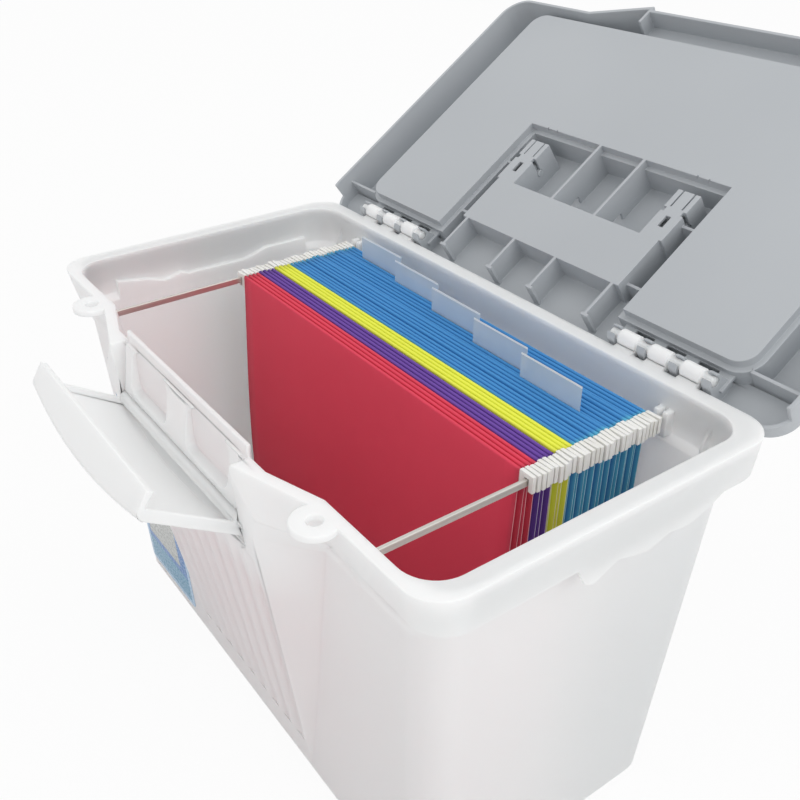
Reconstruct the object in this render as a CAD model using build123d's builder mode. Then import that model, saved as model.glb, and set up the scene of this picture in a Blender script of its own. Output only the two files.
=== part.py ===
from build123d import *
from math import cos, radians, sin, sqrt, tan
import os

os.makedirs("parts", exist_ok=True)

# Portable file box, millimetres. +X is the box's length, the nose with the latch faces -Y,
# +Z is up, and the origin is the centre of the base. The lid stands open on its stop and the
# latch flap hangs open. Reaches are measured out from the foot of the tub, and drops and
# rises from the top of its rim. The sizes that follow from them end each group.

# Bin: a drafted tub with a stepped wall, a nose in the middle of the front and a rim
base_half_length = 193.3
base_half_depth = 92.0
base_edge = 6.0
wall = 2.5
floor_thickness = 3.0
wall_draft = 3.0
body_radius = 19.0
bin_height = 268.0
ledge_drop = 38.0
ledge_rise = 10.0
ledge_width = 3.6
rim_end_reach = 24.7
rim_front_reach = 21.7
rim_back_reach = 24.0
rim_inner_reach = 14.5
rim_radius = 20.0
rim_thickness = 3.0
skirt_height = 24.0
skirt_thickness = 2.4
skirt_lean = 1.5
front_skirt_lean = 5.2
ledge_height = bin_height - ledge_drop
rim_half_length = base_half_length + rim_end_reach
rim_front = base_half_depth + rim_front_reach
rim_back = base_half_depth + rim_back_reach
rim_inner_front = base_half_depth + rim_inner_reach

# Wavy ledge inside both ends, and the finger grips hanging from the skirt outside them:
# shares of the wall's half depth, and heights above the ledge or depths below the skirt
ledge_wave = [
    (-0.85, 9.2),
    (-0.60, 5.2),
    (-0.45, 0.8),
    (-0.37, 2.2),
    (-0.30, 3.9),
    (-0.23, 1.4),
    (-0.16, 1.9),
    (-0.04, 1.5),
    (0.13, 1.4),
    (0.28, 0.9),
    (0.39, 3.0),
    (0.50, 6.3),
    (0.90, 5.8),
]
grip_wave = [
    (-0.22, 0.0),
    (-0.17, 11.0),
    (-0.12, 14.0),
    (-0.07, 11.0),
    (0.02, 6.5),
    (0.10, 9.5),
    (0.19, 12.0),
    (0.26, 10.0),
    (0.33, 7.5),
    (0.40, 9.0),
    (0.47, 10.0),
    (0.54, 7.5),
    (0.62, 3.5),
    (0.68, 0.0),
]
corner_rib_x = 184.0
corner_rib_thickness = 2.4
corner_rib_depth = 5.0
corner_rib_drop = 12.0

# Nose: trapezoid sections, each given as crease, half width and reach
nose_foot_height = 10.0
nose_foot_crease = 76.0
nose_foot_half = 72.0
nose_ledge_crease = 124.0
nose_ledge_half = 92.0
nose_ledge_reach = 36.3
nose_skirt_crease = 135.0
nose_skirt_half = 97.0
nose_skirt_reach = 36.8
nose_rim_crease = 133.0
nose_rim_half = 75.0
nose_rim_reach = 39.0
nose_inner_crease = 131.0
nose_inner_half = 93.0
nose_inner_reach = 26.0
nose_inner_drop = 88.0
nose_root = 0.6
flute_count = 9
flute_depth = 1.3
flute_lip = 0.15
flute_share = 0.46
flute_foot_gap = 24.0
flute_top_gap = 6.0
nose_inner_margin = 1.0
nose_side_share = 0.6
nose_ledge_front = base_half_depth + nose_ledge_reach
nose_skirt_front = base_half_depth + nose_skirt_reach
nose_rim_front = base_half_depth + nose_rim_reach
nose_inner_front = base_half_depth + nose_inner_reach
nose_inner_height = bin_height - nose_inner_drop

# Lock lobes beside the nose
lobe_x = 139.0
lobe_reach = 26.5
lobe_radius = 12.5
lobe_hole_radius = 4.2
lobe_thickness = 4.0
lobe_front = base_half_depth + lobe_reach

# Latch seat and latch flap
latch_pivot_reach = 34.0
latch_pivot_drop = 38.0
latch_half_length = 77.0
latch_side_gap = 0.5
latch_open_angle = 57.0
knuckle_radius = 4.6
knuckle_gap = 1.0
latch_pin_radius = 2.5
latch_pin_length = 3.5
latch_pin_gap = 0.06
seat_floor_drop = 16.0
seat_wall = 2.6
seat_foot_reach = 35.4
seat_top_reach = 30.0
seat_top_rise = 2.0
seat_side_slot = 4.5
seat_wall_rise = 6.5
seat_wall_inset = 1.0
seat_pocket_inner = 13.0
seat_pocket_outer = 63.0
seat_pocket_gap = 4.0
seat_pocket_top_gap = 2.0
seat_pocket_radius = 7.0
seat_pocket_skin = 2.2
flap_wall = 2.6
flap_reach = 57.3
flap_lip = 3.6
flap_foot = 5.0
ear_back = -0.9
flap_end_depth = 8.0
flap_bow = 7.5
flap_hook = 8.7
flap_edge_radius = 6.0
latch_pivot_front = base_half_depth + latch_pivot_reach
latch_pivot_height = bin_height - latch_pivot_drop
seat_floor_height = latch_pivot_height - seat_floor_drop
seat_foot_front = base_half_depth + seat_foot_reach
seat_top_front = base_half_depth + seat_top_reach
seat_top_height = bin_height + seat_top_rise
seat_wall_height = bin_height + seat_wall_rise

# Label on the front wall, heights measured along the wall
label_end_gap = 15.3
label_right = -99.0
label_foot = 14.0
label_top_gap = 23.0
label_margin = 5.0
label_radius = 4.0
label_thickness = 0.3
label_left = label_end_gap - base_half_length
label_top = ledge_height - label_top_gap

# Steel rails that the folders hang on
rail_x = 155.0
rail_drop = 17.5
rail_width = 2.4
rail_depth = 4.2
rail_seat_depth = 6.0
rail_seat_half = 5.0
rail_seat_rise = 4.0
rail_seat_drop = 12.0
rail_seat_root = 1.0
rail_seat_gap = 0.1
rail_top_height = bin_height - rail_drop

# Back hinge
hinge_reach = 29.0
hinge_rise = 5.0
hinge_station_x = 133.5
barrel_pitch = 23.5
barrel_count = 3
barrel_length = 14.0
barrel_radius = 5.0
barrel_flats = 14
hinge_pin_radius = 3.0
hinge_pin_length = 76.0
hook_gap = 0.07
hook_radius = 5.3
hook_width = 6.0
hook_mouth = 5.0
lug_foot = 4.0
lug_root = 3.0
lug_toe = 1.0
lug_half = 4.0
lug_shoulder = 3.0
hinge_back = base_half_depth + hinge_reach
hinge_height = bin_height + hinge_rise

# Lid, given as it lies closed on the rim
lid_open_angle = 146.2
lid_gap = 0.7
lid_inset = 0.2
lid_back_reach = 10.9
lid_back_edge_rise = 8.0
lid_height = 30.0
lid_lean = 2.0
lid_edge = 2.5
lid_wall = 2.4
lid_skin = 2.4
back_step_drop = 6.4
lid_panel_rise = 3.15
groove_step_rise = 6.05
groove_step_width = 3.5
tray_outer_gap = 36.8
tray_inner = 91.0
tray_back_gap = 15.2
tray_front_gap = 9.5
tray_neck = 0.0
tray_radius = 12.0
tray_floor = 2.4
door_ledge = 1.8
rib_thickness = 2.2
rib_near_x = 20.2
rib_far_x = 71.0
rib_flange = 6.0
bay_back = 93.0
bay_half = 88.0
back_notch_gap = 3.5
web_back = 7.0
web_front = 59.0
dish_half = 89.0
dish_radius = 10.0
window_plate_rise = 8.0
window_plate_half = 40.0
window_depth = 8.0
window_gap = 4.0
catch_drop = 12.0
catch_front_gap = 0.5
catch_depth = 11.0
lid_half_length = rim_half_length - lid_inset
lid_front = rim_front - lid_inset
lid_back = hinge_back + lid_back_reach
lid_back_edge_height = hinge_height + lid_back_edge_rise
lid_top_height = bin_height + lid_height
back_step_height = lid_top_height - back_step_drop
lid_panel_height = bin_height + lid_panel_rise
groove_step_height = lid_panel_height + groove_step_rise
tray_outer = lid_half_length - tray_outer_gap
tray_back = hinge_back - tray_back_gap
tray_front = lid_front - tray_front_gap
back_notch = hinge_back - back_notch_gap
window_plate_height = hinge_height + window_plate_rise
catch_height = lid_top_height - catch_drop
catch_front = latch_pivot_front + catch_front_gap
catch_back = catch_front - catch_depth

# Handle and its recess in the lid
recess_half = 76.0
recess_front = 53.0
ramp_front = 34.0
ramp_foot_slope = 0.05
tongue_inner = 60.0
tongue_outer = 78.0
tongue_front = 13.0
pivot_y = 30.0
pivot_drop = 14.0
keyhole_width = 3.2
snap_slot_length = 9.0
snap_slot_width = 4.0
snap_slit_length = 14.0
snap_slit_width = 1.2
snap_slit_gap = 2.6
handle_pin_radius = 2.5
handle_pin_gap = 0.06
handle_arm_gap = 0.7
arm_depth = 12.0
grip_y = 73.0
grip_width = 22.0
grip_depth = 15.0
grip_radius = 5.0
pivot_height = lid_top_height - pivot_drop

# Doors over the two trays
door_thickness = 2.4
door_rest = 0.7
door_gap = 0.8
door_relief_radius = 7.0
door_notch_radius = 9.0
door_pin_radius = 1.0
door_pin_length = 2.4
door_pin_gap = 0.1
door_hole_flats = 8

# Hanging folders, each hung a little to one side of the next
folder_colours = ["red"] * 2 + ["purple"] * 2 + ["yellow"] * 2 + ["blue"] * 9
folder_shifts = [0.0, 0.7, -0.5, 0.3, -0.8, 0.5, -0.2]
folder_front = -1.0
panel_pitch = 3.27
panel_thickness = 0.6
folder_half_length = 149.25
folder_drop = 14.0
folder_foot_gap = 16.0
folder_lean = 4.6
sleeve_height = 11.0
sleeve_thickness = 2.3
bar_height = 7.0
bar_thickness = 0.9
bar_slot_gap = 0.2
tip_reach = 160.0
tip_thickness = 2.6
tip_height = 10.5
tip_drop = 8.0
tip_notch_gap = 0.5
rail_clearance = 0.3
tab_count = 5
tab_width = 50.0
tab_pitch = 51.7
tab_first_x = -104.0
tab_height = 20.0
tab_rise = 15.5
tab_thickness = 0.4
folder_top_height = bin_height - folder_drop
tab_top_height = folder_top_height + tab_rise


def spread(height):
    """How far the drafted wall stands out of the base at a height."""
    return height * tan(radians(wall_draft))


def rounded_plan(half_length, front, back, radius):
    """Plan outline: a rectangle with rounded corners."""
    with Locations((0, (back - front) / 2)):
        RectangleRounded(2 * half_length, back + front, radius)


def wall_plan(height, inset=0.0, step=0.0):
    """Plan outline of the tub's wall at a height."""
    out = spread(height) - inset + step
    rounded_plan(
        base_half_length + out, base_half_depth + out, base_half_depth + out, body_radius - inset + step
    )


def nose_plan(root, crease, half, front):
    """Plan outline of the nose: a trapezoid that starts inside the front wall."""
    inner_root = nose_root * 5 - root
    outer_root = nose_root - root
    Polygon(
        (-crease, inner_root),
        (-crease, outer_root),
        (-half, -front),
        (half, -front),
        (crease, outer_root),
        (crease, inner_root),
        align=None,
    )


def nose_size(height):
    """Crease, half width and front of the nose below the ledge, at a height."""
    share = (height - nose_foot_height) / (ledge_height - nose_foot_height)
    crease = nose_foot_crease + share * (nose_ledge_crease - nose_foot_crease)
    half = nose_foot_half + share * (nose_ledge_half - nose_foot_half)
    foot_front = base_half_depth + nose_root / 2
    return crease, half, foot_front + share * (nose_ledge_front - foot_front)


def flute_plan(index, height):
    """Section of one flute in the nose's face, at a height."""
    half, front = nose_size(height)[1:]
    pitch = 2 * half / flute_count
    middle = (index - (flute_count - 1) / 2) * pitch
    Polygon(
        (middle - flute_share * pitch, -front - flute_lip),
        (middle + flute_share * pitch, -front - flute_lip),
        (middle, -front + flute_depth),
        align=None,
    )


def plan_box(x_low, x_high, y_low, y_high, radius=0, mode=Mode.ADD):
    """Rectangle between two corners."""
    with Locations(((x_low + x_high) / 2, (y_low + y_high) / 2)):
        if radius:
            RectangleRounded(x_high - x_low, y_high - y_low, radius, mode=mode)
        else:
            Rectangle(x_high - x_low, y_high - y_low, mode=mode)


# ---- bin
bevel_reach = base_edge + wall * sqrt(2)
inner_bevel_top = bevel_reach - wall
ledge_top = ledge_height + ledge_rise
ledge_inner = ledge_height + ledge_rise / 2
skirt_bottom = bin_height - skirt_height
nose_mid_crease, nose_mid_half = nose_size(nose_inner_height)[:2]
nose_mid_crease -= nose_inner_margin
nose_mid_half -= nose_inner_margin
nose_mid_root = base_half_depth + spread(nose_inner_height) - wall
upper_half_length = base_half_length + spread(ledge_height) + ledge_width
upper_depth = base_half_depth + spread(ledge_height) + ledge_width
ledge_front = base_half_depth + spread(ledge_height)
latch_bay_half = latch_half_length + latch_side_gap
seat_wall_front = nose_inner_front + seat_wall / 2
seat_foot_height = latch_pivot_height + knuckle_radius + 2 * knuckle_gap
seat_pocket_foot = seat_foot_height + seat_pocket_gap
seat_pocket_height = seat_top_height - seat_pocket_top_gap - seat_pocket_foot
seat_pocket_middle = seat_pocket_foot + seat_pocket_height / 2

with BuildPart() as file_bin:
    # drafted tub on a bevelled base
    with BuildSketch():
        wall_plan(0, inset=base_edge)
    with BuildSketch(Plane.XY.offset(base_edge)):
        wall_plan(base_edge)
    loft()
    with BuildSketch(Plane.XY.offset(base_edge)):
        wall_plan(base_edge)
    with BuildSketch(Plane.XY.offset(ledge_height)):
        wall_plan(ledge_height)
    loft()
    # wall stepped out at the ledge
    with BuildSketch(Plane.XY.offset(ledge_height)):
        wall_plan(ledge_height)
    with BuildSketch(Plane.XY.offset(ledge_top)):
        wall_plan(ledge_height, step=ledge_width)
    loft()
    with BuildSketch(Plane.XY.offset(ledge_top)):
        wall_plan(ledge_height, step=ledge_width)
    extrude(amount=bin_height - ledge_top)
    # rim and skirt
    with BuildSketch(Plane.XY.offset(skirt_bottom)):
        rounded_plan(
            rim_half_length - skirt_lean, rim_front - front_skirt_lean, rim_back - skirt_lean, rim_radius
        )
    with BuildSketch(Plane.XY.offset(bin_height)):
        rounded_plan(rim_half_length, rim_front, rim_back, rim_radius)
    loft()
    # channel under the rim at the ends and the back
    with BuildSketch(Plane.XY.offset(skirt_bottom)):
        rounded_plan(
            rim_half_length - skirt_lean - skirt_thickness,
            upper_depth - 2 * wall,
            rim_back - skirt_lean - skirt_thickness,
            rim_radius - skirt_thickness,
        )
        with BuildSketch(mode=Mode.SUBTRACT):
            wall_plan(ledge_height, step=ledge_width)
    extrude(amount=skirt_height - rim_thickness, mode=Mode.SUBTRACT)
    # nose
    with BuildSketch(Plane.XY.offset(nose_foot_height)):
        nose_plan(base_half_depth, nose_foot_crease, nose_foot_half, base_half_depth + nose_root / 2)
    with BuildSketch(Plane.XY.offset(ledge_height)):
        nose_plan(ledge_front, nose_ledge_crease, nose_ledge_half, nose_ledge_front)
    loft()
    with BuildSketch(Plane.XY.offset(ledge_height)):
        nose_plan(ledge_front, nose_ledge_crease, nose_ledge_half, nose_ledge_front)
    with BuildSketch(Plane.XY.offset(skirt_bottom)):
        nose_plan(rim_front - front_skirt_lean, nose_skirt_crease, nose_skirt_half, nose_skirt_front)
    loft()
    with BuildSketch(Plane.XY.offset(skirt_bottom)):
        nose_plan(rim_front - front_skirt_lean, nose_skirt_crease, nose_skirt_half, nose_skirt_front)
    with BuildSketch(Plane.XY.offset(bin_height)):
        nose_plan(rim_front, nose_rim_crease, nose_rim_half, nose_rim_front)
    loft()
    # flutes down the face of the nose
    for index in range(flute_count):
        for height in (nose_foot_height + flute_foot_gap, seat_floor_height - flute_top_gap):
            with BuildSketch(Plane.XY.offset(height)):
                flute_plan(index, height)
        loft(mode=Mode.SUBTRACT)
    # finger grips hanging from the skirt at both ends
    grip_line = [(rim_back * share, skirt_bottom - drop) for share, drop in grip_wave]
    grip_top = skirt_bottom + skirt_thickness
    for side in (-1, 1):
        with BuildSketch(Plane.YZ.offset(side * (rim_half_length - skirt_lean - skirt_thickness / 2))):
            Polygon(
                *grip_line, (grip_line[-1][0], grip_top), (grip_line[0][0], grip_top), align=None
            )
        extrude(amount=skirt_thickness / 2, both=True)
    # lock lobes
    with BuildSketch(Plane.XY.offset(bin_height - lobe_thickness)):
        with Locations((-lobe_x, -lobe_front), (lobe_x, -lobe_front)):
            Circle(lobe_radius)
    extrude(amount=lobe_thickness)
    # inside, bevelled at its foot like the base
    with BuildSketch(Plane.XY.offset(floor_thickness)):
        wall_plan(floor_thickness, inset=bevel_reach - floor_thickness)
    with BuildSketch(Plane.XY.offset(inner_bevel_top)):
        wall_plan(inner_bevel_top, inset=wall)
    loft(mode=Mode.SUBTRACT)
    with BuildSketch(Plane.XY.offset(inner_bevel_top)):
        wall_plan(inner_bevel_top, inset=wall)
    with BuildSketch(Plane.XY.offset(ledge_inner)):
        wall_plan(ledge_height, inset=wall)
    loft(mode=Mode.SUBTRACT)
    with BuildSketch(Plane.XY.offset(ledge_inner)):
        wall_plan(ledge_height, inset=wall)
    with BuildSketch(Plane.XY.offset(ledge_top)):
        wall_plan(ledge_height, inset=wall, step=ledge_width)
    loft(mode=Mode.SUBTRACT)
    with BuildSketch(Plane.XY.offset(ledge_top)):
        wall_plan(ledge_height, inset=wall, step=ledge_width)
    with BuildSketch(Plane.XY.offset(bin_height)):
        rounded_plan(
            upper_half_length - wall, rim_inner_front, upper_depth - wall, body_radius - wall + ledge_width
        )
    loft(mode=Mode.SUBTRACT)
    # inside of the nose
    with BuildSketch(Plane.XY.offset(nose_foot_height)):
        nose_plan(
            base_half_depth - wall,
            nose_foot_crease - nose_inner_margin,
            nose_foot_half - nose_inner_margin,
            base_half_depth - wall,
        )
    with BuildSketch(Plane.XY.offset(nose_inner_height)):
        nose_plan(nose_mid_root, nose_mid_crease, nose_mid_half, nose_inner_front)
    loft(mode=Mode.SUBTRACT)
    with BuildSketch(Plane.XY.offset(nose_inner_height)):
        nose_plan(nose_mid_root, nose_mid_crease, nose_mid_half, nose_inner_front)
    with BuildSketch(Plane.XY.offset(bin_height)):
        nose_plan(rim_inner_front, nose_inner_crease, nose_inner_half, nose_inner_front)
    loft(mode=Mode.SUBTRACT)
    # wavy ledge inside both ends
    ledge_line = [(base_half_depth * share, ledge_top + rise) for share, rise in ledge_wave]
    with BuildPart(mode=Mode.PRIVATE) as wave:
        with BuildSketch(Plane.YZ):
            Polygon(
                *ledge_line, (ledge_line[-1][0], ledge_inner), (ledge_line[0][0], ledge_inner), align=None
            )
        extrude(amount=rim_half_length, both=True)
        with BuildSketch(Plane.XY.offset(ledge_inner)):
            wall_plan(ledge_height, inset=wall / 2, step=ledge_width)
            Rectangle(2 * (upper_half_length - ledge_width - wall), 2 * rim_back, mode=Mode.SUBTRACT)
        extrude(amount=bin_height, mode=Mode.INTERSECT)
    add(wave.part)
    # ribs inside the back corners
    for side in (-1, 1):
        with BuildSketch(Plane.YZ.offset(side * corner_rib_x)):
            Polygon(
                (upper_depth - wall / 2, ledge_inner),
                (upper_depth - wall - ledge_width, ledge_inner),
                (upper_depth - wall - corner_rib_depth, ledge_top + ledge_width),
                (upper_depth - wall, bin_height - corner_rib_drop),
                (upper_depth - wall / 2, bin_height - corner_rib_drop),
                align=None,
            )
        extrude(amount=corner_rib_thickness / 2, both=True)
    # latch pocket in the nose, leaving the sloped seat
    with BuildSketch(Plane.YZ):
        Polygon(
            (-nose_inner_front - seat_wall, seat_floor_height),
            (-2 * nose_rim_front, seat_floor_height),
            (-2 * nose_rim_front, 2 * bin_height),
            (-seat_wall_front, 2 * bin_height),
            (-seat_wall_front, seat_top_height),
            (-seat_top_front, seat_top_height),
            (-seat_foot_front, seat_foot_height),
            (-nose_inner_front - seat_wall, seat_foot_height),
            align=None,
        )
    extrude(amount=latch_bay_half, both=True, mode=Mode.SUBTRACT)
    # slots beside the seat for the flap's ends
    for side in (-1, 1):
        with BuildSketch(Plane.XY.offset(seat_floor_height)):
            slot_x = side * (latch_bay_half - seat_side_slot / 2)
            with Locations((slot_x, -1.5 * nose_inner_front - seat_wall)):
                Rectangle(seat_side_slot, nose_inner_front)
        extrude(amount=bin_height, mode=Mode.SUBTRACT)
    # raised wall behind the seat, inside the closed lid
    with BuildSketch(Plane.XY.offset(seat_top_height - 2 * lobe_thickness)):
        raised_half = latch_bay_half - seat_wall_inset
        plan_box(-raised_half, raised_half, -seat_wall_front, seat_wall - seat_wall_front)
    extrude(amount=seat_wall_height - seat_top_height + 2 * lobe_thickness)
    # two pockets in the seat's face with a rib between them
    with BuildSketch(Plane.XZ.offset(nose_inner_front + seat_pocket_skin)):
        for side in (-1, 1):
            with Locations((side * (seat_pocket_inner + seat_pocket_outer) / 2, seat_pocket_middle)):
                RectangleRounded(
                    seat_pocket_outer - seat_pocket_inner, seat_pocket_height, seat_pocket_radius
                )
    extrude(amount=seat_foot_front - nose_inner_front, mode=Mode.SUBTRACT)
    # pin holes for the latch
    with BuildSketch(Plane.YZ):
        with Locations((-latch_pivot_front, latch_pivot_height)):
            Circle(latch_pin_radius + latch_pin_gap)
    extrude(amount=latch_half_length + latch_pin_length + latch_side_gap, both=True, mode=Mode.SUBTRACT)
    # slotted seats that carry the rails
    for end_sign in (-1, 1):
        for side in (-1, 1):
            with BuildSketch(Plane.XY.offset(rail_top_height - rail_seat_drop)):
                seat_y = end_sign * (upper_depth - wall - (rail_seat_depth - rail_seat_root) / 2)
                with Locations((side * rail_x, seat_y)):
                    Rectangle(2 * rail_seat_half, rail_seat_depth + rail_seat_root)
            extrude(amount=rail_seat_drop + rail_seat_rise)
            with BuildSketch(Plane.XY.offset(rail_top_height - rail_depth - rail_seat_gap)):
                with Locations((side * rail_x, end_sign * (upper_depth - wall - rail_seat_depth / 2))):
                    Rectangle(rail_width + 2 * rail_seat_gap, rail_seat_depth)
            extrude(amount=bin_height, mode=Mode.SUBTRACT)
    # holes of the lock lobes
    with BuildSketch(Plane.XY.offset(bin_height)):
        with Locations((-lobe_x, -lobe_front), (lobe_x, -lobe_front)):
            Circle(lobe_hole_radius)
    extrude(amount=-skirt_height, mode=Mode.SUBTRACT)
    # hinge stations: barrels on lugs with a pin through them
    for side in (-1, 1):
        with BuildSketch(Plane.YZ.offset(side * hinge_station_x)):
            with Locations((hinge_back, hinge_height)):
                Circle(hinge_pin_radius)
        extrude(amount=hinge_pin_length / 2, both=True)
        for index in range(barrel_count):
            barrel_x = side * hinge_station_x + (index - (barrel_count - 1) / 2) * barrel_pitch
            with BuildSketch(Plane.YZ.offset(barrel_x)):
                Polygon(
                    (rim_back - lug_root, bin_height - lug_foot),
                    (rim_back - lug_root, bin_height),
                    (hinge_back - lug_half, hinge_height - lug_shoulder),
                    (hinge_back, hinge_height),
                    (hinge_back + lug_half, hinge_height - lug_shoulder),
                    (rim_back + lug_toe, bin_height - lug_foot),
                    align=None,
                )
                with Locations((hinge_back, hinge_height)):
                    RegularPolygon(barrel_radius, barrel_flats)
            extrude(amount=barrel_length / 2, both=True)

file_bin.part.label = "file_bin"
export_step(file_bin.part, "parts/file_bin.step")

# ---- steel rails that the folders hang on
rail_half_length = upper_depth - wall - rail_seat_gap
for name, side in (("rail_left", -1), ("rail_right", 1)):
    with BuildPart() as rail:
        with BuildSketch(Plane.XZ.offset(-rail_half_length)):
            with Locations((side * rail_x, rail_top_height - rail_depth / 2)):
                Rectangle(rail_width, rail_depth)
        extrude(amount=2 * rail_half_length)
    rail.part.label = name
    export_step(rail.part, f"parts/{name}.step")

# ---- label on the flat front wall, left of the nose
front_wall = Plane(
    origin=(0, -base_half_depth, 0),
    x_dir=(1, 0, 0),
    z_dir=(0, -cos(radians(wall_draft)), -sin(radians(wall_draft))),
)
crease_slope = (nose_ledge_crease - nose_foot_crease) / (ledge_height - nose_foot_height)
label_top_right = -(nose_foot_crease + crease_slope * (label_top - nose_foot_height) + label_margin)
label_bend = nose_foot_height + (-label_right - label_margin - nose_foot_crease) / crease_slope
with BuildPart() as label:
    with BuildSketch(front_wall):
        Polygon(
            (label_left, label_foot),
            (label_right, label_foot),
            (label_right, label_bend),
            (label_top_right, label_top),
            (label_left, label_top),
            align=None,
        )
        fillet(vertices(), label_radius)
    extrude(amount=label_thickness)
label.part.label = "label"
export_step(label.part, "parts/label.step")

# ---- latch flap, drawn closed about its pivot and swung open
latch_pivot = (0, -latch_pivot_front, latch_pivot_height)
latch_axis = Axis(latch_pivot, (1, 0, 0))
flap_top = latch_pivot_height + flap_reach + flap_lip
flap_bottom = latch_pivot_height - flap_foot
flap_back = flap_hook - latch_pivot_front
flap_end_front = -latch_pivot_front - flap_end_depth


def flap_plan(inset):
    """Closed flap from above: straight at the back, bowed at the front."""
    half = latch_half_length - inset
    front = flap_end_front + inset
    with BuildLine() as outline:
        Polyline((half, front), (half, flap_back), (-half, flap_back), (-half, front))
        ThreePointArc((-half, front), (0, front - flap_bow), (half, front))
    make_face(outline.edges())


with BuildPart() as flap_hollow:
    with BuildSketch(Plane.XY.offset(latch_pivot_height - flap_wall)):
        flap_plan(flap_wall)
    extrude(amount=flap_top - latch_pivot_height)
    with BuildSketch(Plane.XY.offset(flap_bottom)):
        plan_box(-latch_half_length, latch_half_length, ear_back - latch_pivot_front, flap_back)
    extrude(amount=flap_top - flap_bottom)
    # the lip is left outside a cylinder about the pivot
    with BuildSketch(Plane.YZ):
        with Locations((-latch_pivot_front, latch_pivot_height)):
            Circle(flap_reach)
    extrude(amount=latch_half_length, both=True, mode=Mode.INTERSECT)

with BuildPart() as latch:
    with BuildSketch(Plane.XY.offset(flap_bottom)):
        flap_plan(0)
    extrude(amount=flap_top - flap_bottom)
    front_face = latch.faces().filter_by(GeomType.CYLINDER).sort_by(Axis.Y)[0]
    fillet(front_face.edges().group_by(Axis.Z)[-1], flap_edge_radius)
    add(flap_hollow.part, mode=Mode.SUBTRACT)
    with BuildSketch(Plane.YZ):
        with Locations((-latch_pivot_front, latch_pivot_height)):
            Circle(knuckle_radius)
    extrude(amount=latch_half_length, both=True)
    with BuildSketch(Plane.YZ):
        with Locations((-latch_pivot_front, latch_pivot_height)):
            Circle(latch_pin_radius)
    extrude(amount=latch_half_length + latch_pin_length, both=True)
latch.part = latch.part.rotate(latch_axis, latch_open_angle)
latch.part.label = "latch"
export_step(latch.part, "parts/latch.step")

# ---- lid, drawn closed and swung open about the hinge
hinge_axis = Axis((0, hinge_back, hinge_height), (1, 0, 0))
lid_bottom = bin_height + lid_gap
lid_ceiling = lid_top_height - lid_skin
bay_ceiling = back_step_height - lid_skin
tray_edge = groove_step_width - lid_wall
door_floor = lid_top_height - door_thickness - door_rest
door_front = tray_front + tray_edge - door_gap
door_back = tray_back + tray_edge - door_gap
door_pin_x = tray_outer + tray_edge - door_gap - door_thickness / 2
door_pin_height = lid_top_height - door_thickness / 2
door_relief_height = door_pin_height - door_pin_radius / 2
door_reach = (door_front + door_back) / 2 + door_pin_length


def lid_outline(inset):
    """Outline of the lid without its nose, seen from above."""
    rounded_plan(lid_half_length - inset, lid_front - inset, lid_back - inset, rim_radius - inset)


def lid_nose(inset):
    """Outline of the lid's nose, seen from above."""
    side_inset = inset * nose_side_share
    nose_plan(
        lid_front - inset, nose_rim_crease - side_inset, nose_rim_half - side_inset, nose_rim_front - inset
    )


def tray_panel(out):
    """U-shaped panel under the trays, seen from above, grown by a margin."""
    plan_box(-tray_outer - out, tray_outer + out, -tray_front - out, tray_back + out, tray_radius + out)
    with Locations((0, tray_neck + out + tray_back)):
        Rectangle(2 * (tray_inner - out), 2 * tray_back, mode=Mode.SUBTRACT)


def tray_well(side, out, radius):
    """Inside of one tray, seen from above, grown by a margin."""
    low = side * (tray_inner - out)
    high = side * (tray_outer + out)
    plan_box(min(low, high), max(low, high), -tray_front - out, tray_back + out, radius)


def cut_from_top(floor):
    """Cut the pending sketch from a floor up through the lid's top."""
    extrude(amount=2 * lid_top_height - floor, mode=Mode.SUBTRACT)


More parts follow.
